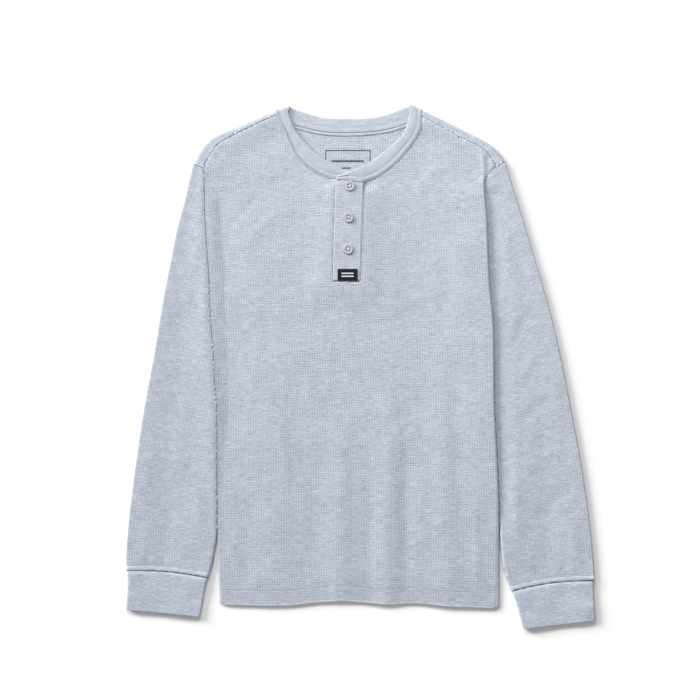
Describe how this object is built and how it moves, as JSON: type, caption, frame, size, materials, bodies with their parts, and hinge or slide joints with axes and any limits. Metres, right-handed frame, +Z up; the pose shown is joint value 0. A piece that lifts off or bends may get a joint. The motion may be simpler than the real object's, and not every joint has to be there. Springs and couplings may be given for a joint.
{
  "type": "thermal top",
  "caption": "Child's long-sleeved waffle-knit thermal top laid flat, with a round rib neckband, a buttoned placket and rib cuffs.",
  "frame": {"origin": "centre of the bounding box at its underside, on the surface the top lies on", "axes": "+Y from the hem to the neck, +X towards the wearer's left, +Z up off the surface, out of the front"},
  "size_m": [0.5262, 0.5874, 0.009],
  "materials": {
    "waffle_knit": "matte heathered waffle knit",
    "band_rib": "matte heathered fine rib",
    "cuff_rib": "matte heathered rib",
    "button_plastic": "satin pearly polyester",
    "woven_black": "matte woven"
  },
  "bodies": {
    "root": {"front": "waffle_knit", "back": "waffle_knit", "sleeve_r": "waffle_knit", "sleeve_l": "waffle_knit", "cuff_r": "cuff_rib", "cuff_l": "cuff_rib", "neckband": "band_rib", "placket": "waffle_knit", "button_top": "button_plastic", "button_middle": "button_plastic", "button_bottom": "button_plastic", "patch_label": "woven_black"}
  },
  "joints": []
}
